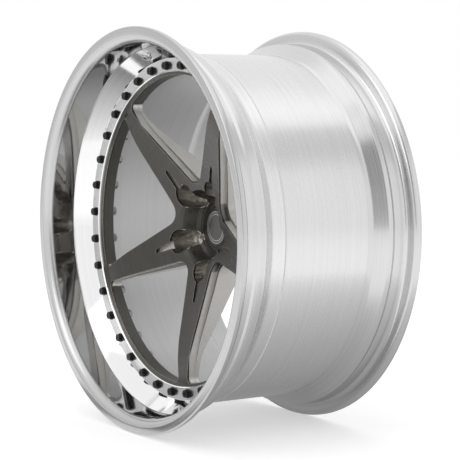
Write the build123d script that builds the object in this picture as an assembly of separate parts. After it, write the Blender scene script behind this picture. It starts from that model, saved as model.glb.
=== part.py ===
"""Three-piece forged car wheel: polished outer lip, inner barrel and five-spoke bolted centre.

Millimetres. The origin is the centre of the hub mounting pad. The wheel spins about Y:
+Y points towards the car and the polished lip faces -Y.
"""
import os
from math import atan2, cos, radians, sin, tan

from build123d import *

# Rim size
rim_width = 241.3
bead_seat_radius = 241.3
flange_height = 17.2
flange_width = 10.85
hub_offset = -25.0

# Flange, bead seat and hump, alike on both halves
bead_taper = 5.0
bead_seat_length = 11.0
flange_edge_radius = 2.0
flange_tip_radius = 7.0
flange_tip_relief = 0.3
flange_root_radius = 6.5
seat_end_blend = 0.8
hump_height = 1.5
hump_rise_length = 3.6
hump_width = 9.0
hump_fall = 0.45
hump_blend = 1.6

# Drop centre between the two bead seats, as depths behind the nearer edge
drop_centre_depth = 15.3
barrel_wall = 5.5
rear_flange_wall = 4.9
front_slope_drop = 2.0
front_slope_start = 45.5
front_slope_blend = 5.0
front_well_start = 63.5
front_well_blend = 10.0
rear_well_start = 53.5
rear_well_blend = 12.0
rear_bore_blend = 8.0

# Front bowl of the lip, as depths behind the front edge
lip_wall = 2.6
bowl_draft = 2.1
bowl_foot_depth = 43.0
bowl_corner_radius = 4.0
lip_roll_radius = 12.0
lip_face_depth = 64.3
slant_inset = 5.7
slant_edge_blend = 0.6
lip_flange_thickness = 4.7
lip_edge_break = 1.0

# Bolted joint between lip, centre and barrel, stepping inwards from the drop centre
seal_land_width = 8.4
bolt_edge_distance = 6.3
bolt_inner_distance = 8.3
centre_flange_thickness = 13.5
barrel_flange_thickness = 5.0
barrel_flange_blend = 2.0
joint_clearance = 0.1
pilot_clearance = 0.2
seal_width = 1.8
seal_depth = 1.3

# Assembly bolts and nuts
bolt_count = 35
bolt_start_angle = 84.06
bolt_radius = 3.4
bolt_hole_clearance = 0.2
bolt_flange_radius = 5.9
bolt_flange_thickness = 1.3
bolt_head_radius = 4.9
bolt_head_height = 5.6
bolt_point_radius = 1.3
bolt_point_depth = 0.9
nut_flats = 11.0
nut_height = 6.5
bolt_tail = 1.6
thread_clearance = 0.05

# Wheel centre
spoke_count = 5
spoke_start_angle = 58.35
ring_wall = 3.5
ring_depth = 17.0
ring_rear_blend = 1.0
flat_face_width = 34.5
face_slope = 0.30
face_blend = 200.0
spoke_half_width_hub = 26.2
spoke_half_width_rim = 13.6
spoke_hub_station = 60.0
window_step = 5.5
window_step_depth = 12.0
window_inner_corner = 20.0
window_outer_corner = 7.5
spoke_rear_depth = 20.0
spoke_rear_blend = 60.0
pad_radius = 77.0
pad_height = 18.2
pad_chamfer = 1.5
pad_blend = 20.0

# Hub well, lug pockets and bores
well_rim_radius = 45.3
well_rim_chamfer = 5.0
well_floor_radius = 41.5
well_floor_height = 6.5
well_step = 3.0
hub_floor_depth = 23.5
hub_floor_blend = 1.0
hub_bore_radius = 31.7
hub_bore_length = 14.0
lug_ring_radius = 54.0
lug_pocket_radius = 16.0
lug_pocket_floor = 14.0
lug_seat_radius = 12.4
lug_seat_half_angle = 30.0
lug_hole_radius = 7.4
groove_tip_station = 93.0
groove_tip_radius = 2.8
groove_root_station = 66.0
groove_root_radius = 5.4
groove_depth = 6.5

# Centre cap
cap_radius = 30.0
cap_flange_thickness = 4.5
cap_rim_proud = 1.5
cap_edge_break = 1.0
cap_skirt_radius = 27.0
cap_skirt_length = 5.6
cap_bore_clearance = 0.35
cap_dome_radius = 25.4
cap_dome_height = 2.2
cap_dome_bevel = 1.2
cap_disc_radius = 21.3
cap_disc_thickness = 1.5
cap_disc_pocket = 1.2
cap_disc_clearance = 0.1
cap_wall = 3.0
cap_ring_side = 1.8
ring_groove_depth = 1.5
ring_groove_clearance = 0.1

# Valve in the slanted face of the lip
valve_angle = 102.1
valve_hole_radius = 5.75
valve_hole_clearance = 0.25
valve_shift = 1.0
valve_land_depth = 0.6
valve_land_margin = 0.8
valve_back_depth = 3.5
valve_back_radius = 9.6
valve_seal_radius = 8.8
valve_seal_thickness = 1.6
valve_head_radius = 8.0
valve_head_thickness = 3.5
valve_nut_radius = 7.4
valve_nut_height = 3.2
valve_nut_recess = 1.3
valve_nut_bevel = 0.9
valve_tip_height = 4.4
valve_tip_step = 1.2
valve_bore_radius = 2.6
valve_core_clearance = 0.1
valve_core_depth = 1.2
valve_core_length = 9.0
valve_core_dish = 1.0
valve_core_rim = 0.8
valve_pin_radius = 0.8

# How far cuts run past the faces that they open
cut_margin = 1.0
valve_cut_reach = 30.0

# Radii that follow from the sizes above
flange_radius = bead_seat_radius + flange_height
drop_centre_radius = bead_seat_radius - drop_centre_depth
barrel_bore_radius = drop_centre_radius - barrel_wall
bowl_radius = bead_seat_radius - lip_wall
bowl_foot_radius = bowl_radius - bowl_draft
slant_inner_radius = drop_centre_radius - slant_inset
centre_flange_radius = drop_centre_radius - seal_land_width
bolt_ring_radius = centre_flange_radius - bolt_edge_distance
lip_hole_radius = bolt_ring_radius - bolt_inner_distance
ring_bore_radius = lip_hole_radius - ring_wall
face_start_radius = ring_bore_radius - flat_face_width
bolt_hole_radius = bolt_radius + bolt_hole_clearance
valve_shank_radius = valve_hole_radius - valve_hole_clearance
valve_tip_radius = valve_shank_radius - valve_tip_step
valve_core_radius = valve_bore_radius - valve_core_clearance

# Places along the spin axis
front_edge = -rim_width / 2 - flange_width + hub_offset
rear_edge = rim_width / 2 + flange_width + hub_offset
lip_face = front_edge + lip_face_depth
lip_back = lip_face + lip_flange_thickness
joint_plane = lip_back + centre_flange_thickness
barrel_flange_back = joint_plane + barrel_flange_thickness
ring_rear = lip_back + ring_depth
hub_floor = -hub_floor_depth
cap_front = hub_floor - cap_rim_proud
cap_seat = cap_front + cap_flange_thickness
cap_dome_front = cap_front - cap_dome_height
spoke_angles = [spoke_start_angle + i * 360 / spoke_count for i in range(spoke_count)]
bolt_angles = [bolt_start_angle + i * 360 / bolt_count for i in range(bolt_count)]


def face_depth(radius):
    """Place of the turned spoke face along the axis."""
    return lip_back + max(0.0, face_start_radius - radius) * face_slope


def spoke_half_width(station, step):
    """Half width of a spoke plus a ledge, which narrows from the hub to nothing at the ring."""
    taper = (spoke_half_width_hub - spoke_half_width_rim) / (face_start_radius - spoke_hub_station)
    ledge = step * (ring_bore_radius - station) / (ring_bore_radius - spoke_hub_station)
    return spoke_half_width_hub - (station - spoke_hub_station) * taper + ledge


def turned(points):
    """Solid of revolution about Y from (radius, place, corner radius) points."""
    corners = [(radius, place) for radius, place, _ in points]
    radii = [corner for _, _, corner in points]
    outline = FilletPolyline(*corners, radius=radii, close=True)
    return revolve(make_face(outline.edges()), Axis.Y)


def station_plane(place):
    """Sketch plane across the axis, with +X right, +Z up and its normal towards the front."""
    return Plane.XZ.offset(-place)


def polar_place(radius, angle):
    """Point across the axis at a radius and an angle from +X towards +Z."""
    return (radius * cos(radians(angle)), radius * sin(radians(angle)))


def pin(radius, start, end, centre=(0, 0)):
    """Cylinder along the axis between two places."""
    disc = Pos(*centre) * Circle(radius)
    return extrude(station_plane(end) * disc, end - start)


def bolt_holes(start, end):
    """Ring of clearance holes for the assembly bolts."""
    holes = []
    for angle in bolt_angles:
        centre = polar_place(bolt_ring_radius, angle)
        holes.append(pin(bolt_hole_radius, start - cut_margin, end + cut_margin, centre))
    return holes


def bead_contour(side):
    """Tyre side of one flange, bead seat and hump, as (radius, place, corner radius)."""
    seat_end = flange_width + flange_root_radius + bead_seat_length
    seat_end_radius = bead_seat_radius - (seat_end - flange_width) * tan(radians(bead_taper))
    hump_radius = seat_end_radius + hump_height
    points = [
        (flange_radius, 0.0, flange_edge_radius),
        (flange_radius, flange_width - flange_tip_relief, flange_tip_radius),
        (bead_seat_radius + flange_root_radius, flange_width, 0.0),
        (bead_seat_radius, flange_width, flange_root_radius),
        (seat_end_radius, seat_end, seat_end_blend),
        (hump_radius, seat_end + hump_rise_length, hump_blend),
        (hump_radius - hump_fall, seat_end + hump_width, hump_blend),
    ]
    edge, sign = (front_edge, 1) if side == "front" else (rear_edge, -1)
    return [(radius, edge + sign * distance, corner) for radius, distance, corner in points]


def seal_groove_corner(side):
    """Corner of the sealant groove on one side of the joint."""
    half = seal_width / 2
    place = joint_plane - half if side == "front" else joint_plane + half
    return (drop_centre_radius, place, 0.0)


def make_outer_lip():
    """Polished outer half: rolled edge, bowl, slanted face and drilled mounting flange."""
    section = bead_contour("front") + [
        (bead_seat_radius - front_slope_drop, front_edge + front_slope_start, front_slope_blend),
        (drop_centre_radius, front_edge + front_well_start, front_well_blend),
        seal_groove_corner("front"),
        (drop_centre_radius - seal_depth, joint_plane, 0.0),
        (centre_flange_radius + joint_clearance, joint_plane, 0.0),
        (centre_flange_radius + joint_clearance, lip_back, 0.0),
        (lip_hole_radius, lip_back, 0.0),
        (lip_hole_radius, lip_face + lip_edge_break, 0.0),
        (lip_hole_radius + lip_edge_break, lip_face, 0.0),
        (slant_inner_radius, lip_face, slant_edge_blend),
        (bowl_foot_radius, front_edge + bowl_foot_depth, bowl_corner_radius),
        (bowl_radius, front_edge, lip_roll_radius),
    ]
    lip = turned(section)
    return lip - bolt_holes(lip_face, lip_back) - valve_cut()


def make_inner_barrel():
    """Inner half: drilled flange, deep drop centre, rear bead seat and rear flange."""
    tyre_side = bead_contour("rear")
    slope_top, slope_place, _ = tyre_side[-1]
    well_end = rear_edge - rear_well_start
    slope = atan2(slope_top - drop_centre_radius, slope_place - well_end)
    shift = barrel_wall * tan(slope / 2)
    section = list(reversed(tyre_side)) + [
        (slope_top - rear_flange_wall, rear_edge, lip_roll_radius),
        (slope_top - barrel_wall, slope_place + shift, rear_bore_blend),
        (barrel_bore_radius, well_end + shift, rear_well_blend - shift),
        (barrel_bore_radius, barrel_flange_back, barrel_flange_blend),
        (lip_hole_radius + pilot_clearance, barrel_flange_back, 0.0),
        (lip_hole_radius + pilot_clearance, joint_plane, 0.0),
        (drop_centre_radius - seal_depth, joint_plane, 0.0),
        seal_groove_corner("rear"),
        (drop_centre_radius, well_end, rear_well_blend),
    ]
    return turned(section) - bolt_holes(joint_plane, barrel_flange_back)


def make_joint_sealant():
    """Bead of sealant that fills the groove where the two rim halves meet."""
    section = [
        seal_groove_corner("front"),
        seal_groove_corner("rear"),
        (drop_centre_radius - seal_depth, joint_plane, 0.0),
    ]
    return turned(section)


def window_outline(step):
    """Opening between two spokes, narrowed by the step of the ledge, in its own place about +X."""
    half_gap = 180 / spoke_count
    far = 2 * ring_bore_radius
    start = Vector(0, spoke_half_width(0, step)).rotate(Axis.Z, -half_gap)
    end = Vector(far, spoke_half_width(far, step)).rotate(Axis.Z, -half_gap)
    lower = Line(start, end)
    apex = lower.intersect(lower.mirror(Plane.XZ))[0]
    wedge = make_face(Polyline(apex, end, Vector(end.X, -end.Y), apex).edges())
    outline = wedge & Circle(ring_bore_radius)
    outline = fillet(outline.vertices().sort_by(Axis.X)[0], window_inner_corner - step)
    return fillet(outline.vertices().sort_by(Axis.X)[-2:], window_outer_corner)


def front_block(depth):
    """Everything in front of the spoke face, pushed back by a depth."""
    return turned([
        (hub_bore_radius, front_edge, 0.0),
        (flange_radius, front_edge, 0.0),
        (flange_radius, face_depth(flange_radius) + depth, 0.0),
        (face_start_radius, face_depth(face_start_radius) + depth, face_blend),
        (hub_bore_radius, face_depth(hub_bore_radius) + depth, 0.0),
    ])


def window_cut():
    """Stepped opening: full outline down to a ledge below the face, then a smaller one through."""
    length = rear_edge - front_edge
    through = extrude(station_plane(rear_edge) * window_outline(window_step), length)
    mouth = extrude(station_plane(rear_edge) * window_outline(0), length)
    return through + (mouth & front_block(window_step_depth))


def groove_cut():
    """Tapered groove that runs out along a spoke from its lug pocket, about +X."""
    tip = Pos(groove_tip_station, 0) * Circle(groove_tip_radius)
    root = Pos(groove_root_station, 0) * Circle(groove_root_radius)
    outline = make_hull((tip + root).edges())
    return extrude(station_plane(0) * outline, -front_edge) & front_block(groove_depth)


def lug_cut():
    """Socket pocket, conical seat and stud hole of one lug, about +X."""
    seat_drop = (lug_seat_radius - lug_hole_radius) / tan(radians(lug_seat_half_angle))
    floor = -lug_pocket_floor
    centre = (lug_ring_radius, 0)
    pocket = pin(lug_pocket_radius, front_edge, floor, centre)
    cone = Cone(lug_seat_radius, lug_hole_radius, seat_drop)
    seat = Pos(lug_ring_radius, floor + seat_drop / 2, 0) * Rot(-90, 0, 0) * cone
    hole = pin(lug_hole_radius, floor, cut_margin, centre)
    return pocket + seat + hole


def pad_and_ring_section():
    """Rear of the centre: mounting pad, back of the spokes and bolt flange."""
    return [
        (hub_bore_radius, 0.0, 0.0),
        (pad_radius - pad_chamfer, 0.0, 0.0),
        (pad_radius, -pad_chamfer, 0.0),
        (pad_radius, -pad_height, pad_blend),
        (face_start_radius, lip_back + spoke_rear_depth, spoke_rear_blend),
        (ring_bore_radius - ring_wall, ring_rear, 0.0),
        (lip_hole_radius, ring_rear, ring_rear_blend),
        (lip_hole_radius, joint_plane, 0.0),
        (centre_flange_radius, joint_plane, 0.0),
        (centre_flange_radius, lip_back, 0.0),
    ]


def face_and_well_section():
    """Front of the centre: spoke face, hub well and the seat of the cap."""
    chamfer_radius = well_rim_radius + well_rim_chamfer
    well_floor = hub_floor - well_floor_height
    cap_bore = cap_radius + cap_bore_clearance
    skirt_bore = cap_skirt_radius + cap_bore_clearance
    return [
        (face_start_radius, lip_back, face_blend),
        (chamfer_radius, face_depth(chamfer_radius), 0.0),
        (well_rim_radius, face_depth(well_rim_radius) + well_rim_chamfer, 0.0),
        (well_floor_radius, well_floor, 0.0),
        (well_floor_radius - well_step, well_floor + well_step, 0.0),
        (well_floor_radius - well_step, hub_floor, hub_floor_blend),
        (cap_bore, hub_floor, 0.0),
        (cap_bore, cap_seat, 0.0),
        (skirt_bore, cap_seat, 0.0),
        (skirt_bore, -hub_bore_length, 0.0),
        (hub_bore_radius, -hub_bore_length, 0.0),
    ]


def make_wheel_centre():
    """Forged five-spoke centre with stepped windows, lug pockets and bolt flange."""
    centre = turned(pad_and_ring_section() + face_and_well_section())
    centre -= bolt_holes(lip_back, joint_plane)
    half_gap = 180 / spoke_count
    window, groove, lug = window_cut(), groove_cut(), lug_cut()
    for angle in spoke_angles:
        centre -= Rot(0, -angle - half_gap, 0) * window
        centre -= Rot(0, -angle, 0) * (groove + lug)
    return centre


def star_head():
    """Twelve-point outline of a bolt head."""
    flats = RegularPolygon(bolt_head_radius, 6)
    return flats + Rot(0, 0, 30) * flats


def make_bolt():
    """Assembly bolt on the axis: twelve-point flange head, plain shank and centre dimple."""
    head_top = lip_face - bolt_head_height
    tail = barrel_flange_back + nut_height + bolt_tail
    bolt = pin(bolt_flange_radius, lip_face - bolt_flange_thickness, lip_face)
    bolt += extrude(station_plane(lip_face) * star_head(), bolt_head_height)
    bolt += pin(bolt_radius, lip_face, tail)
    return bolt - pin(bolt_point_radius, head_top - cut_margin, head_top + bolt_point_depth)


def make_nut():
    """Plain hexagon nut on the axis, behind the barrel flange."""
    outline = RegularPolygon(nut_flats / 2, 6, major_radius=False)
    end = barrel_flange_back + nut_height
    nut = extrude(station_plane(end) * outline, nut_height)
    return nut - pin(bolt_radius + thread_clearance, barrel_flange_back - cut_margin, end + cut_margin)


def ring_of(piece):
    """Group of separate copies of a piece, one at each assembly bolt."""
    copies = []
    for angle in bolt_angles:
        x, z = polar_place(bolt_ring_radius, angle)
        copies.append(Pos(x, 0, z) * Rot(0, -angle, 0) * piece)
    return Compound(children=[copy.solid() for copy in copies])


def make_centre_cap():
    """Push-in cap: stepped bezel, shallow pocket for the disc, hollow skirt with a ring groove."""
    pocket_floor = cap_dome_front + cap_disc_pocket
    pocket_radius = cap_disc_radius + cap_disc_clearance
    skirt_end = cap_seat + cap_skirt_length
    groove_middle = cap_seat + cap_skirt_length / 2
    groove_half = cap_ring_side / 2 + ring_groove_clearance
    groove_radius = cap_skirt_radius - ring_groove_depth
    section = [
        (0.0, pocket_floor, 0.0),
        (pocket_radius, pocket_floor, 0.0),
        (pocket_radius, cap_dome_front, 0.0),
        (cap_dome_radius - cap_dome_bevel, cap_dome_front, 0.0),
        (cap_dome_radius, cap_front, 0.0),
        (cap_radius - cap_edge_break, cap_front, 0.0),
        (cap_radius, cap_front + cap_edge_break, 0.0),
        (cap_radius, cap_seat, 0.0),
        (cap_skirt_radius, cap_seat, 0.0),
        (cap_skirt_radius, groove_middle - groove_half, 0.0),
        (groove_radius, groove_middle - groove_half, 0.0),
        (groove_radius, groove_middle + groove_half, 0.0),
        (cap_skirt_radius, groove_middle + groove_half, 0.0),
        (cap_skirt_radius, skirt_end, 0.0),
        (groove_radius - cap_wall, skirt_end, 0.0),
        (groove_radius - cap_wall, cap_front + cap_wall, 0.0),
        (0.0, cap_front + cap_wall, 0.0),
    ]
    return turned(section)


def make_cap_disc():
    """Plain inlay disc in the face of the cap."""
    pocket_floor = cap_dome_front + cap_disc_pocket
    return pin(cap_disc_radius, pocket_floor - cap_disc_thickness, pocket_floor)


def make_cap_ring():
    """Square-cut rubber ring in the skirt groove, which grips the bore."""
    middle = cap_seat + cap_skirt_length / 2
    half = cap_ring_side / 2
    inner = cap_skirt_radius - ring_groove_depth
    outer = inner + cap_ring_side
    return turned([
        (inner, middle - half, 0.0),
        (inner, middle + half, 0.0),
        (outer, middle + half, 0.0),
        (outer, middle - half, 0.0),
    ])


def valve_plane():
    """Plane on the slanted face at the valve, in the X-Y section, with its normal into the bowl."""
    foot = Vector(bowl_foot_radius, front_edge + bowl_foot_depth)
    top = Vector(slant_inner_radius, lip_face)
    run = (top - foot).normalized()
    middle = (foot + top) / 2 - run * valve_shift
    return Plane(origin=(middle.X, middle.Y, 0), x_dir=(0, 0, 1), z_dir=(-run.Y, run.X, 0))


def on_valve(piece):
    """Move a piece built along Z to the valve's place in the lip."""
    return Rot(0, -valve_angle, 0) * (valve_plane() * piece)


def rod(radius, low, high):
    """Cylinder along Z between two heights."""
    return Pos(0, 0, low) * extrude(Circle(radius), high - low)


def valve_cut():
    """Valve hole with a small flat land for the nut and a flat seat on the tyre side."""
    hole = rod(valve_hole_radius, -valve_cut_reach, valve_cut_reach)
    land = rod(valve_nut_radius + valve_land_margin, -valve_land_depth, valve_cut_reach)
    seat = rod(valve_back_radius, -valve_cut_reach, -valve_back_depth)
    return on_valve(hole + land + seat)


def make_valve_stem():
    """Valve stem: head on the tyre side, shank through the lip and a short tip in the bowl."""
    head_top = -valve_back_depth - valve_seal_thickness
    stem = rod(valve_head_radius, head_top - valve_head_thickness, head_top)
    stem += rod(valve_shank_radius, head_top, -valve_land_depth + valve_nut_recess)
    stem += rod(valve_tip_radius, -valve_land_depth, valve_tip_height)
    return on_valve(stem - rod(valve_bore_radius, -valve_cut_reach, valve_cut_reach))


def make_valve_seal():
    """Rubber washer between the valve head and the lip."""
    top = -valve_back_depth
    washer = rod(valve_seal_radius, top - valve_seal_thickness, top)
    return on_valve(washer - rod(valve_hole_radius, -valve_cut_reach, 0))


def make_valve_nut():
    """Round domed nut that holds the valve against the slanted face."""
    low = -valve_land_depth
    nut = rod(valve_nut_radius, low, low + valve_nut_height)
    nut = chamfer(nut.faces().sort_by(Axis.Z)[-1].edges(), valve_nut_bevel)
    recess_top = low + valve_nut_recess + thread_clearance
    nut -= rod(valve_shank_radius + thread_clearance, low - cut_margin, recess_top)
    return on_valve(nut - rod(valve_tip_radius + thread_clearance, 0, valve_cut_reach))


def make_valve_core():
    """Valve core set below the tip of the stem, with its centre pin."""
    top = valve_tip_height - valve_core_depth
    core = rod(valve_core_radius, top - valve_core_length, top)
    core -= rod(valve_core_radius - valve_core_rim, top - valve_core_dish, top + cut_margin)
    return on_valve(core + rod(valve_pin_radius, top - valve_core_dish - cut_margin, top))


def write(name, part):
    """Write one node to its own file."""
    export_step(part, f"parts/{name}.step")


os.makedirs("parts", exist_ok=True)
write("outer_lip", make_outer_lip())
write("inner_barrel", make_inner_barrel())
write("joint_sealant", make_joint_sealant())
write("wheel_centre", make_wheel_centre())
write("assembly_bolts", ring_of(make_bolt()))
write("assembly_nuts", ring_of(make_nut()))
write("centre_cap", make_centre_cap())
write("cap_disc", make_cap_disc())
write("cap_ring", make_cap_ring())
write("valve_stem", make_valve_stem())
write("valve_seal", make_valve_seal())
write("valve_nut", make_valve_nut())
write("valve_core", make_valve_core())
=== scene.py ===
"""Looks of the three-piece forged wheel: finishes, turned detail, studio and camera."""
import bmesh
import bpy
from math import atan2, ceil, cos, pi, radians, sin, tan
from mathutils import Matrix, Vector


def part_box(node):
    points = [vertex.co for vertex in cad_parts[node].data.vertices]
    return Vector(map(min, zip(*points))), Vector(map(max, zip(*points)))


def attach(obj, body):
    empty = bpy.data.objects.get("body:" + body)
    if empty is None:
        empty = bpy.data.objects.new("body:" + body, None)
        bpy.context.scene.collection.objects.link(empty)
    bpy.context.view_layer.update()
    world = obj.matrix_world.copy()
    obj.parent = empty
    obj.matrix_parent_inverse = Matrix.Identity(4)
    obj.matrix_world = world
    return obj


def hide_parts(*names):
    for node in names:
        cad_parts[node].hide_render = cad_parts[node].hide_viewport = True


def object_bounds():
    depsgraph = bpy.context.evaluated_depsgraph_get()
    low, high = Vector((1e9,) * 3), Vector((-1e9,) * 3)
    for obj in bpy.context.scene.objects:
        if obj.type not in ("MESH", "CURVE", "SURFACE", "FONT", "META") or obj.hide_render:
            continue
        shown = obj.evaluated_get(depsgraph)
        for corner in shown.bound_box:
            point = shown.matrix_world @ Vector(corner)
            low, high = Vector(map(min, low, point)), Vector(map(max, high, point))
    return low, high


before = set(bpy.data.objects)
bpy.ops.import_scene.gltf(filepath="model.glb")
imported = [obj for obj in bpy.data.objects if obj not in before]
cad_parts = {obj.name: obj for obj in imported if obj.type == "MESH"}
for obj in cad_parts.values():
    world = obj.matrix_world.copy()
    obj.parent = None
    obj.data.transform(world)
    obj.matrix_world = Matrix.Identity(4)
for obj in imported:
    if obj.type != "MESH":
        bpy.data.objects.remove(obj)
cad_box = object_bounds()
mm = 0.001

# Camera, fitted to the photograph: degrees and metres, and a sensor in millimetres
photo_size = 460
focal_pixels = 1562.6
shift_pixels = (13.55, -2.43)
sensor_width = 36.0
camera_azimuth = 57.4
camera_elevation = 4.13
camera_distance = 2.0498
camera_target = Vector((0.0, -0.0265, 0.0))
view_reach = 50.0

# Edges and joint of the rim; its sizes are in millimetres, and depths run back from the front edge
front_edge = cad_box[0].y / mm
rear_edge = cad_box[1].y / mm
flange_radius = cad_box[1].x / mm
seal_half_width = 0.9
seal_depth = 1.3
joint_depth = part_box("joint_sealant")[0].y / mm + seal_half_width - front_edge

# Flange, bead seat and hump, alike on both halves, with depths from the nearer edge
flange_edge_radius = 2.0
flange_tip_depth = 10.55
flange_tip_radius = 7.0
flange_back_radius = 247.8
flange_back_depth = 10.85
flange_root_radius = 6.5
bead_seat_radius = 241.3
seat_end_radius = 239.77
seat_end_depth = 28.35
seat_end_blend = 0.8
hump_height = 1.5
hump_rise_length = 3.6
hump_blend = 1.6
hump_fall = 0.45
hump_width = 9.0
hump_end_blend = 2.0

# Drop centre and its front slope
drop_centre_radius = 226.0
front_slope_drop = 2.0
front_slope_start = 45.5
front_slope_blend = 5.0
front_well_start = 63.5
front_well_blend = 10.0

# Outer lip
centre_pocket_radius = 217.7
lip_face_depth = 64.3
lip_back_depth = 69.0
lip_hole_radius = 203.0
lip_edge_break = 1.0
slant_inner_radius = 220.3
slant_edge_blend = 0.6
bowl_foot_radius = 236.6
bowl_foot_depth = 43.0
bowl_corner_radius = 4.0
bowl_radius = 238.7
lip_roll_radius = 12.0

# Inner barrel
barrel_bore = 220.5
barrel_flange_thickness = 5.0
barrel_flange_blend = 2.0
pilot_clearance = 0.2
rear_well_end = 209.5
rear_well_blend = 12.0
rear_well_bore_blend = 10.0
rear_slope_angle = 45.0
rear_slope_bore_blend = 8.0
rear_flange_thinning = 0.6
rear_roll_radius = 12.0

# Fineness of turned pieces
turning_steps = 480
arc_step = 7.0
sharp_angle = 20.0

# Wheel centre, for its finish
spoke_count = 5
spoke_start_angle = 58.35
face_start_radius = 165.0
face_slope = 0.30
lug_ring_radius = 54.0

# Borders on the wheel centre in millimetres, each from where a region is absent to where it is full
below_face_border = (2.7, 3.5)
hub_border = (64.0, 62.2)
ring_border = (198.4, 199.2)
pocket_border = (16.8, 16.3)
seat_border = (13.2, 12.6)
seat_place_border = (-15.2, -14.4)
groove_side_border = (7.4, 6.8)
groove_end_border = (99.0, 97.0)
open_groove_border = (70.0, 71.0)

# Tilt of a surface towards the spin axis, 0 on a side wall and 1 on a flat face; forward-facing ledges and
# well floors take painted shade
ledge_tilt = (0.55, 0.80)
well_floor_tilt = (0.12, 0.45)

# Tones of the wheel centre; pairs run from the darker to the lighter streaks
face_tones = (0.047, 0.044, 0.039), (0.084, 0.078, 0.070)
ring_tones = (0.058, 0.056, 0.047), (0.096, 0.093, 0.080)
# Painted reflections: flanks, well, grooves and pockets are paler than the tinted face
flank_painted_reflection_tones = (0.80, 0.78, 0.74), (0.92, 0.90, 0.86)
well_painted_reflection_tones = (0.29, 0.28, 0.25), (0.40, 0.385, 0.345)
groove_painted_reflection_tones = (0.34, 0.33, 0.30), (0.46, 0.445, 0.41)
pocket_painted_reflection_tones = (0.50, 0.485, 0.455), (0.62, 0.605, 0.57)
# Painted shade: darker tones where ledges and the hub well floor face forward
ledge_painted_shade_tone = (0.24, 0.233, 0.218)
well_floor_painted_shade_tone = (0.038, 0.036, 0.033)
seat_tone = (0.78, 0.76, 0.72)
# Painted highlight along the sharp edges of the wheel centre
centre_edge_highlight_tone = (0.58, 0.565, 0.53)
centre_edge_highlight_share = 0.85

# Painted highlights on the cap's chamfers; the border is a distance from each ring's radius, in millimetres
cap_chamfer_highlight_tone = (0.48, 0.465, 0.43)
cap_chamfer_border = (0.55, 0.25)

# Turned lines stay apart on faces of any slope, and reflections stretch across them
depth_share = 1.37
round_the_axis = 0.25

# Cosine between true and rounded normal, from a flat surface to a full edge
edge_cosines = (0.97, 0.90)

# Studio; lengths in metres
white = (1.0, 1.0, 1.0)
black = (0.0, 0.0, 0.0)
soft_light = 0.72
floor_reach = 9.0
floor_tone = 0.86
floor_lift = 0.42
# Glowing sheets seen only in reflections: painted reflections and painted shade
flag_gap = 0.4 * mm
card_fade = (0.35, 0.99)
side_flag_foot = Vector((0.742, -0.757, 0.0))
side_flag_along = Vector((0.326, 0.294, 0.0))
side_flag_rise = Vector((-0.308, 0.072, 0.778))
side_flag_fade_height = 0.45
side_flag_levels = (0.62, 0.30)


def add_camera():
    """Camera at the photograph's angle, distance and framing."""
    back = direction(camera_azimuth, camera_elevation)
    data = bpy.data.cameras.new("camera")
    data.sensor_width = sensor_width
    data.lens = focal_pixels / photo_size * sensor_width
    data.shift_x, data.shift_y = (shift / photo_size for shift in shift_pixels)
    data.clip_end = view_reach
    camera = bpy.data.objects.new("camera", data)
    camera.location = camera_target + back * camera_distance
    camera.rotation_euler = (-back).to_track_quat("-Z", "Y").to_euler()
    bpy.context.collection.objects.link(camera)
    bpy.context.scene.camera = camera


def direction(azimuth, elevation):
    """Unit vector from the wheel towards an azimuth and elevation in degrees."""
    turn, lift = radians(azimuth), radians(elevation)
    return Vector((cos(lift) * sin(turn), -cos(lift) * cos(turn), sin(lift)))


def grey(level):
    """Neutral colour."""
    return (level, level, level)


def scaled(colour, share):
    """Colour times a share, at most white."""
    return tuple(min(1.0, part * share) for part in colour)


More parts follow.
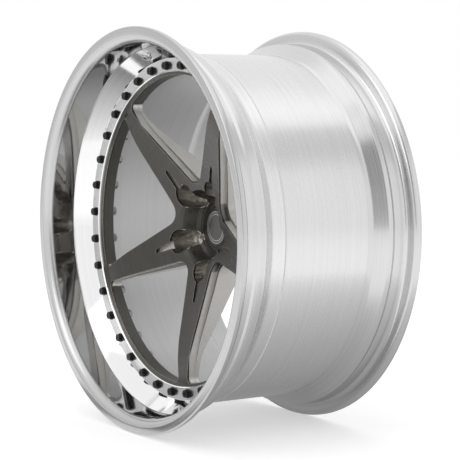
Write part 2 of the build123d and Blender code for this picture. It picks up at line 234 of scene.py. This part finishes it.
class Nodes:
    """Adds nodes to one shader tree and joins them."""

    def __init__(self, tree):
        self.tree = tree

    def add(self, kind, inputs=(), **settings):
        """New node with its settings; its inputs are given in order, or by name in a dictionary."""
        node = self.tree.nodes.new(kind)
        for name, value in settings.items():
            setattr(node, name, value)
        pairs = inputs.items() if isinstance(inputs, dict) else enumerate(inputs)
        for socket, value in pairs:
            self.fill(node.inputs[socket], value)
        return node

    def fill(self, socket, value):
        """Join an input to another node's output, or give it a plain value or a colour of three parts."""
        if isinstance(value, bpy.types.NodeSocket):
            self.tree.links.new(value, socket)
        elif socket.type == "RGBA":
            socket.default_value = (*value, 1.0)
        else:
            socket.default_value = value

    def math(self, operation, first, second=0.0, third=0.0):
        """Result of one sum."""
        return self.add("ShaderNodeMath", (first, second, third), operation=operation).outputs[0]

    def multiply(self, first, second):
        """Product of two values."""
        return self.math("MULTIPLY", first, second)

    def weigh(self, first, first_share, second, second_share):
        """Sum of two values, each times its share."""
        return self.math("MULTIPLY_ADD", first, first_share, self.multiply(second, second_share))

    def length(self, first, second):
        """Length of a flat vector with these two parts."""
        square = self.math("ADD", self.multiply(first, first), self.multiply(second, second))
        return self.math("SQRT", square)

    def ramp(self, value, low, high, start=0.0, end=1.0):
        """Value stretched from one range to another, held at both ends."""
        return self.add("ShaderNodeMapRange", (value, low, high, start, end)).outputs[0]

    def border(self, value, limits):
        """0 at the first limit and 1 at the second; the value is in metres, the limits in millimetres."""
        return self.ramp(value, limits[0] * mm, limits[1] * mm)

    def mix(self, share, first, second):
        """Mix of two colours."""
        inputs = {"Factor": share, "A": first, "B": second}
        return self.add("ShaderNodeMix", inputs, data_type="RGBA").outputs["Result"]

    def noise(self, vector, scale, detail=2.0, roughness=0.5):
        """Noise value from 0 to 1."""
        inputs = {"Vector": vector, "Scale": scale, "Detail": detail, "Roughness": roughness}
        return self.add("ShaderNodeTexNoise", inputs).outputs["Fac"]

    def place(self):
        """Object coordinates, in metres."""
        return self.add("ShaderNodeTexCoord").outputs["Object"]

    def true_normal(self):
        """Normal of the face itself, without smoothing."""
        return self.add("ShaderNodeNewGeometry").outputs["True Normal"]

    def split(self, vector):
        """The three parts of a vector."""
        return self.add("ShaderNodeSeparateXYZ", (vector,)).outputs

    def radius(self, parts):
        """Distance from the spin axis."""
        return self.length(parts[0], parts[2])

    def turning_lines(self, along):
        """Coordinates in which noise becomes lines round the spin axis; a smaller along makes them longer."""
        parts = self.split(self.place())
        across = self.math("MULTIPLY_ADD", parts[1], depth_share, self.radius(parts))
        joined = (self.multiply(parts[0], along), across, self.multiply(parts[2], along))
        return self.add("ShaderNodeCombineXYZ", joined).outputs[0]

    def tangent(self):
        """Direction round the spin axis, for brushed reflections."""
        return self.add("ShaderNodeTangent", direction_type="RADIAL", axis="Y").outputs[0]

    def rounded(self, width, samples):
        """Normal as if the edges were rounded by this width in millimetres."""
        return self.add("ShaderNodeBevel", {"Radius": width * mm}, samples=samples).outputs[0]

    def edges(self, width):
        """1 along the sharp edges of the piece and 0 elsewhere; the width is in millimetres."""
        normals = (self.rounded(width, samples=8), self.true_normal())
        turned = self.add("ShaderNodeVectorMath", normals, operation="DOT_PRODUCT")
        return self.ramp(turned.outputs["Value"], *edge_cosines)

    def bump(self, height, strength, distance, normal=None):
        """Bumped normal; the distance is in millimetres."""
        inputs = {"Height": height, "Strength": strength, "Distance": distance * mm}
        if normal is not None:
            inputs["Normal"] = normal
        return self.add("ShaderNodeBump", inputs).outputs[0]

    def seen_directly(self):
        """1 for the camera, mirror images and clear parts, and 0 for soft light."""
        path = self.add("ShaderNodeLightPath")
        seen = self.math("MAXIMUM", path.outputs["Is Camera Ray"], path.outputs["Is Glossy Ray"])
        return self.math("MAXIMUM", seen, path.outputs["Is Transmission Ray"])


class Finish(Nodes):
    """One material with its surface shader."""

    def __init__(self, name):
        self.material = bpy.data.materials.new(name)
        self.material.use_nodes = True
        super().__init__(self.material.node_tree)
        self.shader = self.tree.nodes["Principled BSDF"]

    def set(self, inputs):
        """Fill inputs of the surface shader by their names."""
        for name, value in inputs.items():
            self.fill(self.shader.inputs[name], value)


def turned_metal(name, colour, roughness, spread, line_depth, stretch, variation):
    """Bare or polished aluminium with fine turning lines round the spin axis."""
    made = Finish(name)
    lines = made.noise(made.turning_lines(0.0012), scale=2400.0, roughness=0.7)
    marks = made.noise(made.turning_lines(0.002), scale=900.0, roughness=0.6)
    bands = made.noise(made.turning_lines(0.01), scale=130.0, roughness=0.6)
    clouds = made.noise(made.place(), scale=9.0, detail=3.0)
    streaks = made.math("MULTIPLY_ADD", bands, 0.20, made.weigh(marks, 0.55, lines, 0.25))
    darker, lighter = scaled(colour, 1.0 - variation), scaled(colour, 1.0 + variation)
    wear = made.weigh(clouds, 0.45, marks, 0.55)
    made.set({
        "Base Color": made.mix(made.ramp(streaks, 0.36, 0.64), darker, lighter),
        "Metallic": 1.0,
        "Roughness": made.ramp(wear, 0.35, 0.65, roughness - spread, roughness + spread),
        "Anisotropic": stretch,
        "Anisotropic Rotation": round_the_axis,
        "Tangent": made.tangent(),
        "Normal": made.bump(made.weigh(marks, 0.7, lines, 0.3), strength=0.6, distance=line_depth),
    })
    return made.material


def spoke_place(made, parts, radius):
    """Place along and across the nearest spoke's centre line."""
    half_share = 180.0 / spoke_count
    angle = made.math("ARCTAN2", parts[2], parts[0])
    shifted = made.math("ADD", angle, radians(half_share - spoke_start_angle))
    turned = made.math("FLOORED_MODULO", shifted, radians(2 * half_share))
    folded = made.math("SUBTRACT", turned, radians(half_share))
    along = made.multiply(radius, made.math("COSINE", folded))
    across = made.multiply(radius, made.math("SINE", folded))
    return along, across


def centre_regions(made, parts):
    """Regions of the wheel centre by name, each 1 inside and 0 outside."""
    radius = made.radius(parts)
    along, across = spoke_place(made, parts, radius)
    lug = made.length(made.math("SUBTRACT", along, lug_ring_radius * mm), across)
    fall = made.math("MAXIMUM", made.math("SUBTRACT", face_start_radius * mm, radius), 0.0)
    face = made.math("MULTIPLY_ADD", fall, face_slope, (front_edge + lip_back_depth) * mm)
    side = made.border(made.math("ABSOLUTE", across), groove_side_border)
    groove = made.multiply(side, made.border(along, groove_end_border))
    on_seat = made.border(lug, seat_border)
    return {
        "below": made.border(made.math("SUBTRACT", parts[1], face), below_face_border),
        "hub": made.math("MAXIMUM", made.border(radius, hub_border), groove),
        "open_groove": made.multiply(groove, made.border(along, open_groove_border)),
        "pocket": made.border(lug, pocket_border),
        "ring": made.border(radius, ring_border),
        "seat": made.multiply(on_seat, made.border(parts[1], seat_place_border)),
    }


def centre_tone_and_painted_light(made, regions, brushed, milled):
    """Colour of the wheel centre: dark tinted face and ring over flanks, well, grooves and pockets painted
    paler as reflections, with painted shade on forward-facing ledges and the well floor and a painted
    highlight along edges.
    """
    tilt = made.math("ABSOLUTE", made.split(made.true_normal())[1])
    flank = made.mix(made.ramp(tilt, *ledge_tilt), made.mix(milled, *flank_painted_reflection_tones), ledge_painted_shade_tone)
    well = made.mix(made.ramp(tilt, *well_floor_tilt), made.mix(brushed, *well_painted_reflection_tones), well_floor_painted_shade_tone)
    lower = made.mix(regions["hub"], flank, well)
    lower = made.mix(regions["open_groove"], lower, made.mix(brushed, *groove_painted_reflection_tones))
    lower = made.mix(regions["pocket"], lower, made.mix(brushed, *pocket_painted_reflection_tones))
    tone = made.mix(regions["below"], made.mix(brushed, *face_tones), lower)
    tone = made.mix(regions["ring"], tone, made.mix(brushed, *ring_tones))
    tone = made.mix(regions["seat"], tone, seat_tone)
    # Painted highlight: a paler tone along the sharp edges
    return made.mix(made.multiply(made.edges(width=0.6), centre_edge_highlight_share), tone, centre_edge_highlight_tone)


def tinted_metal(name):
    """Brushed metal under a dark tinted coat; its milled sides are duller, and their paler tone is a painted
    reflection.
    """
    made = Finish(name)
    place = made.place()
    regions = centre_regions(made, made.split(place))
    lines = made.noise(made.turning_lines(0.02), scale=1500.0, detail=3.0, roughness=0.7)
    marks = made.noise(made.turning_lines(0.03), scale=420.0, roughness=0.6)
    grain = made.noise(place, scale=620.0)
    clouds = made.noise(place, scale=18.0, detail=3.0)
    brushed = made.ramp(made.weigh(lines, 0.6, marks, 0.4), 0.2, 0.8)
    milled = made.ramp(made.weigh(grain, 0.5, clouds, 0.5), 0.35, 0.65)
    elsewhere = made.math("SUBTRACT", 1.0, made.math("MAXIMUM", regions["hub"], regions["pocket"]))
    milled_side = made.multiply(regions["below"], elsewhere)
    in_pocket = made.multiply(regions["pocket"], regions["below"])
    dull = made.ramp(clouds, 0.3, 0.7, 0.22, 0.31)
    dull = made.multiply(dull, made.ramp(milled_side, 0.0, 1.0, 1.0, 1.7))
    made.set({
        "Base Color": centre_tone_and_painted_light(made, regions, brushed, milled),
        "Metallic": made.ramp(milled_side, 0.0, 1.0, 0.92, 0.60),
        "Roughness": made.multiply(dull, made.ramp(in_pocket, 0.0, 1.0, 1.0, 0.55)),
        "Anisotropic": 0.5,
        "Anisotropic Rotation": round_the_axis,
        "Tangent": made.tangent(),
        "Normal": made.bump(lines, strength=0.5, distance=0.012, normal=made.rounded(width=0.5, samples=8)),
        "Coat Weight": 0.2,
        "Coat Roughness": 0.14,
    })
    return made.material


def black_steel(name):
    """Black plated fastener steel with rounded glints, and a painted highlight of pale grey along its sharp
    edges.
    """
    made = Finish(name)
    grain = made.noise(made.place(), scale=900.0)
    tone = made.mix(made.ramp(grain, 0.35, 0.65), (0.006, 0.006, 0.0065), (0.014, 0.014, 0.015))
    made.set({
        # Painted highlight: pale grey along the sharp edges
        "Base Color": made.mix(made.multiply(made.edges(width=0.12), 0.5), tone, grey(0.22)),
        "Metallic": 0.2,
        "Specular IOR Level": 0.3,
        "Roughness": made.ramp(grain, 0.3, 0.7, 0.14, 0.24),
        "Normal": made.bump(grain, strength=0.15, distance=0.02, normal=made.rounded(width=0.15, samples=4)),
    })
    return made.material


def plain_metal(name, colour, roughness, edge_colour=None):
    """Small metal part with a faint grain; a colour of its own may be laid along its sharp edges."""
    made = Finish(name)
    grain = made.noise(made.place(), scale=700.0)
    tone = made.mix(made.ramp(grain, 0.3, 0.7), scaled(colour, 0.88), colour)
    if edge_colour is not None:
        tone = made.mix(made.edges(width=0.55), tone, edge_colour)
    made.set({
        "Base Color": tone,
        "Metallic": 1.0,
        "Roughness": made.ramp(grain, 0.3, 0.7, roughness * 0.85, roughness * 1.15),
        "Normal": made.bump(grain, strength=0.2, distance=0.01),
    })
    return made.material


def cap_metal(name, colour, ring_radii):
    """Dark turned metal with fine rings round the spin axis and painted highlights on the chamfers at these
    radii.
    """
    made = Finish(name)
    lines = made.noise(made.turning_lines(0.01), scale=2200.0, roughness=0.6)
    radius = made.radius(made.split(made.place()))
    tone = made.mix(made.ramp(lines, 0.3, 0.7), scaled(colour, 0.8), colour)
    # Painted highlight: a pale ring at each chamfer's radius
    for ring_radius in ring_radii:
        away = made.math("ABSOLUTE", made.math("SUBTRACT", radius, ring_radius * mm))
        tone = made.mix(made.border(away, cap_chamfer_border), tone, cap_chamfer_highlight_tone)
    made.set({
        "Base Color": tone,
        "Metallic": 1.0,
        "Roughness": made.ramp(lines, 0.3, 0.7, 0.2, 0.3),
        "Normal": made.bump(lines, strength=0.3, distance=0.01),
    })
    return made.material


def soft_material(name, colour, roughness):
    """Rubber or sealant."""
    made = Finish(name)
    grain = made.noise(made.place(), scale=1200.0, detail=3.0)
    made.set({
        "Base Color": made.mix(made.ramp(grain, 0.3, 0.7), scaled(colour, 0.8), colour),
        "Roughness": made.ramp(grain, 0.3, 0.7, roughness - 0.08, roughness + 0.08),
        "Normal": made.bump(grain, strength=0.3, distance=0.03),
    })
    return made.material


def rounded_outline(points):
    """Closed outline as (radius, place, finish), its corners rounded by arcs of short straight pieces."""
    outline = []
    for index, (radius, place, corner, finish) in enumerate(points):
        if corner == 0.0:
            outline.append((radius, place, finish))
            continue
        here = Vector((radius, place))
        before = Vector(points[index - 1][:2])
        after = Vector(points[(index + 1) % len(points)][:2])
        to_before = (before - here).normalized()
        to_after = (after - here).normalized()
        half = to_before.angle(to_after) / 2
        reach = corner / tan(half)
        centre = here + (to_before + to_after).normalized() * (corner / sin(half))
        start = here + to_before * reach - centre
        end = here + to_after * reach - centre
        turn = atan2(start.x * end.y - start.y * end.x, start.dot(end))
        pieces = max(2, ceil(abs(turn) / radians(arc_step)))
        for part in range(pieces + 1):
            angle = turn * part / pieces
            arm_radius = start.x * cos(angle) - start.y * sin(angle)
            arm_place = start.x * sin(angle) + start.y * cos(angle)
            outline.append((centre.x + arm_radius, centre.y + arm_place, finish))
    return outline


def turn_piece(name, points, finishes):
    """Turned piece from an outline in millimetres; each stretch takes the finish of its first point."""
    outline = rounded_outline(points)
    slots = list(finishes)
    mesh = bpy.data.meshes.new(name)
    shape = bmesh.new()
    rings = []
    for radius, place, _ in outline:
        ring = []
        for step in range(turning_steps):
            angle = 2 * pi * step / turning_steps
            ring.append(shape.verts.new((radius * mm * cos(angle), place * mm, radius * mm * sin(angle))))
        rings.append(ring)
    for index, ring in enumerate(rings):
        following = rings[(index + 1) % len(rings)]
        for step in range(turning_steps):
            beside = (step + 1) % turning_steps
            face = shape.faces.new((ring[step], ring[beside], following[beside], following[step]))
            face.material_index = slots.index(outline[index][2])
    bmesh.ops.recalc_face_normals(shape, faces=shape.faces)
    shape.to_mesh(mesh)
    shape.free()
    mesh.shade_smooth()
    mesh.set_sharp_from_angle(angle=radians(sharp_angle))
    for material in finishes.values():
        mesh.materials.append(material)
    piece = bpy.data.objects.new(name, mesh)
    bpy.context.collection.objects.link(piece)
    return piece


def bead_contour(rim_finish, seat_finish):
    """Tyre side of flange, bead seat and hump, as (radius, depth from the edge, corner, finish)."""
    hump_radius = seat_end_radius + hump_height
    return [
        (flange_radius, 0.0, flange_edge_radius, rim_finish),
        (flange_radius, flange_tip_depth, flange_tip_radius, rim_finish),
        (flange_back_radius, flange_back_depth, 0.0, seat_finish),
        (bead_seat_radius, flange_back_depth, flange_root_radius, seat_finish),
        (seat_end_radius, seat_end_depth, seat_end_blend, seat_finish),
        (hump_radius, seat_end_depth + hump_rise_length, hump_blend, seat_finish),
        (hump_radius - hump_fall, seat_end_depth + hump_width, hump_end_blend, seat_finish),
    ]


def add_outer_lip(finishes):
    """Outer lip turned finely, with its own finish on roll, bowl, slanted face and bolt band."""
    outline = bead_contour("satin", "seat") + [
        (bead_seat_radius - front_slope_drop, front_slope_start, front_slope_blend, "slope"),
        (drop_centre_radius, front_well_start, front_well_blend, "slope"),
        (drop_centre_radius, joint_depth - seal_half_width, 0.0, "seat"),
        (drop_centre_radius - seal_depth, joint_depth, 0.0, "satin"),
        (centre_pocket_radius, joint_depth, 0.0, "satin"),
        (centre_pocket_radius, lip_back_depth, 0.0, "satin"),
        (lip_hole_radius, lip_back_depth, 0.0, "edge"),
        (lip_hole_radius, lip_face_depth + lip_edge_break, 0.0, "edge"),
        (lip_hole_radius + lip_edge_break, lip_face_depth, 0.0, "band"),
        (slant_inner_radius, lip_face_depth, slant_edge_blend, "polish"),
        (bowl_foot_radius, bowl_foot_depth, bowl_corner_radius, "mirror"),
        (bowl_radius, 0.0, lip_roll_radius, "satin"),
    ]
    placed = [(radius, front_edge + depth, corner, finish) for radius, depth, corner, finish in outline]
    lip = turn_piece("outer_lip_turned", placed, finishes)
    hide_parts("outer_lip")
    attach(lip, "root")


def add_inner_barrel(finishes):
    """Inner barrel turned finely: raw outside, brushed bore and rear flange."""
    contour = bead_contour("flange", "flange")
    rear = [(radius, rear_edge - depth, corner, finish) for radius, depth, corner, finish in contour]
    slope_top, slope_place = rear[-1][:2]
    well_end = front_edge + rear_well_end
    wall = drop_centre_radius - barrel_bore
    shift = wall * tan(radians(rear_slope_angle / 2))
    joint = front_edge + joint_depth
    pilot_radius = lip_hole_radius + pilot_clearance
    outline = list(reversed(rear)) + [
        (slope_top - wall + rear_flange_thinning, rear_edge, rear_roll_radius, "bore"),
        (slope_top - wall, slope_place + shift, rear_slope_bore_blend, "bore"),
        (barrel_bore, well_end + shift, rear_well_bore_blend, "bore"),
        (barrel_bore, joint + barrel_flange_thickness, barrel_flange_blend, "bore"),
        (pilot_radius, joint + barrel_flange_thickness, 0.0, "bore"),
        (pilot_radius, joint, 0.0, "bore"),
        (drop_centre_radius - seal_depth, joint, 0.0, "raw"),
        (drop_centre_radius, joint + seal_half_width, 0.0, "raw"),
        (drop_centre_radius, well_end, rear_well_blend, "flange"),
    ]
    barrel = turn_piece("inner_barrel_turned", outline, finishes)
    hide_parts("inner_barrel")
    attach(barrel, "root")


def dress(node, material):
    """Give a carried-over node one material."""
    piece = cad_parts[node]
    piece.data.materials.clear()
    piece.data.materials.append(material)


def add_world():
    """White surroundings for the camera and for reflections, and a gentler level of soft light."""
    world = bpy.data.worlds.new("studio")
    bpy.context.scene.world = world
    world.use_nodes = True
    made = Nodes(world.node_tree)
    background = made.tree.nodes["Background"]
    made.fill(background.inputs["Color"], white)
    made.fill(background.inputs["Strength"], made.ramp(made.seen_directly(), 0.0, 1.0, soft_light, 1.0))


def add_lamp(name, place, size, power):
    """Square soft lamp that faces the wheel."""
    data = bpy.data.lights.new(name, "AREA")
    data.shape = "SQUARE"
    data.size = size
    data.energy = power
    lamp = bpy.data.objects.new(name, data)
    lamp.location = place
    lamp.rotation_euler = (-Vector(place)).to_track_quat("-Z", "Y").to_euler()
    bpy.context.collection.objects.link(lamp)


def stage_sheet(name, corners, material):
    """Flat sheet of the studio from its four corners."""
    mesh = bpy.data.meshes.new(name)
    mesh.from_pydata(corners, [], [(0, 1, 2, 3)])
    mesh.materials.append(material)
    sheet = bpy.data.objects.new(name, mesh)
    bpy.context.collection.objects.link(sheet)
    return sheet


def rectangle(across, along, height):
    """Corners of a level rectangle between two places on each axis."""
    (left, right), (near, far) = across, along
    return [(left, near, height), (right, near, height), (right, far, height), (left, far, height)]


def add_floor():
    """White floor at the lowest point of the wheel; it keeps the shadow."""
    made = Finish("floor")
    made.set({
        "Base Color": grey(floor_tone),
        "Roughness": 0.9,
        "Specular IOR Level": 0.0,
        "Emission Color": white,
        "Emission Strength": made.multiply(made.seen_directly(), floor_lift),
    })
    span = (-floor_reach, floor_reach)
    stage_sheet("floor", rectangle(span, span, cad_box[0].z), made.material)


def glow(name):
    """Black finish that sends out white light, for painted reflections and painted shade; its strength is set
    by the sheet that takes it.
    """
    made = Finish(name)
    made.set({"Base Color": black, "Specular IOR Level": 0.0, "Emission Color": white})
    return made


def hide_from_view(sheet):
    """Leave a studio sheet to reflections alone."""
    sheet.visible_camera = False
    sheet.visible_shadow = False
    sheet.visible_diffuse = False


def add_card(name, azimuth, elevation, distance, width, height, level):
    """Grey glowing card that only reflections show, a painted reflection; it fades to white at its edges."""
    made = glow(name)
    parts = made.split(made.place())
    aside = made.math("DIVIDE", made.math("ABSOLUTE", parts[0]), width / 2)
    above = made.math("DIVIDE", made.math("ABSOLUTE", parts[1]), height / 2)
    out_of_middle = made.math("MAXIMUM", aside, above)
    made.set({"Emission Strength": made.ramp(out_of_middle, *card_fade, level, 1.0)})
    corners = rectangle((-width / 2, width / 2), (-height / 2, height / 2), 0.0)
    card = stage_sheet(name, corners, made.material)
    out = direction(azimuth, elevation)
    card.location = out * distance
    card.rotation_euler = out.to_track_quat("Z", "Y").to_euler()
    hide_from_view(card)


def add_floor_flag(name, across, along, axis, fade, level):
    """Dark glowing sheet on the floor that only reflections show, painted shade in the metal's reflections;
    it fades to white between two places on one axis.
    """
    made = glow(name)
    parts = made.split(made.place())
    made.set({"Emission Strength": made.ramp(parts[axis], *fade, level, 1.0)})
    corners = rectangle(across, along, cad_box[0].z + flag_gap)
    hide_from_view(stage_sheet(name, corners, made.material))


def add_side_flag():
    """Dark glowing flag beside the camera's line of sight that only reflections show; the rear slope of the
    barrel mirrors it as a painted reflection.
    """
    made = glow("side_flag")
    height = made.split(made.place())[2]
    made.set({"Emission Strength": made.ramp(height, 0.0, side_flag_fade_height, *side_flag_levels)})
    foot_end = side_flag_foot + side_flag_along
    corners = [side_flag_foot, foot_end, foot_end + side_flag_rise, side_flag_foot + side_flag_rise]
    hide_from_view(stage_sheet("side_flag", corners, made.material))


add_camera()
add_world()
add_lamp("top_lamp", place=(0.3, 0.2, 3.2), size=3.6, power=12.0)
add_lamp("front_lamp", place=(0.0, -2.1, 1.5), size=1.8, power=7.5)
add_floor()
# Painted reflections: grey cards seen only in the metal
add_card("painted_reflection_left_card", azimuth=-57.0, elevation=10.0, distance=4.5, width=7.0, height=6.0, level=0.84)
add_card("painted_reflection_rear_card", azimuth=130.0, elevation=45.0, distance=4.0, width=7.0, height=2.2, level=0.74)
# Painted shadow: the barrel's lower side mirrors this sheet in place of the floor's shade under the wheel
add_floor_flag("painted_shadow_floor_flag", across=(-0.30, 0.60), along=(-0.13, 0.40),
               axis=0, fade=(0.06, 0.60), level=0.33)
# Painted reflection: a dark floor patch seen only in the metal
add_floor_flag("painted_reflection_front_flag", across=(-0.34, 0.02), along=(-0.42, -0.19),
               axis=1, fade=(-0.25, -0.42), level=0.25)
# Painted reflection: a dark flag seen only on the rear slope
add_side_flag()

# Turned aluminium: roughness, its spread, depth of the lines in millimetres, stretch and variation
add_outer_lip({
    "satin": turned_metal("satin_lip", grey(0.56), 0.23, 0.05, 0.010, 0.5, 0.10),
    "mirror": turned_metal("mirror_bowl", grey(0.82), 0.045, 0.015, 0.0004, 0.2, 0.02),
    "polish": turned_metal("polished_cone", grey(0.86), 0.07, 0.02, 0.0006, 0.2, 0.02),
    "band": turned_metal("bolt_band", grey(0.57), 0.22, 0.05, 0.006, 0.4, 0.06),
    "edge": turned_metal("bright_edge", grey(0.93), 0.15, 0.03, 0.002, 0.2, 0.02),
    "seat": turned_metal("raw_seat", grey(0.68), 0.24, 0.05, 0.008, 0.6, 0.06),
    "slope": turned_metal("raw_slope", grey(0.76), 0.26, 0.05, 0.008, 0.6, 0.05),
})
add_inner_barrel({
    "raw": turned_metal("raw_barrel", (0.73, 0.73, 0.735), 0.25, 0.05, 0.008, 0.75, 0.05),
    "bore": turned_metal("brushed_bore", (0.56, 0.56, 0.565), 0.50, 0.06, 0.016, 0.5, 0.07),
    "flange": turned_metal("raw_flange", (0.66, 0.66, 0.665), 0.22, 0.05, 0.008, 0.6, 0.07),
})

# Nodes that keep their CAD shape
dress("wheel_centre", tinted_metal("tinted_centre"))
dress("assembly_bolts", black_steel("black_steel"))
dress("assembly_nuts", plain_metal("plated_steel", (0.33, 0.33, 0.34), 0.35))
dress("joint_sealant", soft_material("sealant", grey(0.88), 0.5))
dress("centre_cap", cap_metal("cap_body", (0.055, 0.053, 0.049), ring_radii=(29.4, 25.0)))
dress("cap_disc", cap_metal("cap_inlay", (0.115, 0.112, 0.106), ring_radii=(20.8, 17.5)))
dress("cap_ring", soft_material("cap_rubber", grey(0.02), 0.6))
dress("valve_stem", plain_metal("valve_metal", grey(0.75), 0.15))
# The valve nut is darker along its sharp edges
dress("valve_nut", plain_metal("valve_nut_metal", grey(0.7), 0.1, edge_colour=grey(0.1)))
dress("valve_seal", soft_material("valve_rubber", grey(0.02), 0.6))
dress("valve_core", plain_metal("valve_brass", (0.25, 0.2, 0.1), 0.3))

bpy.context.scene.view_settings.view_transform = "Standard"
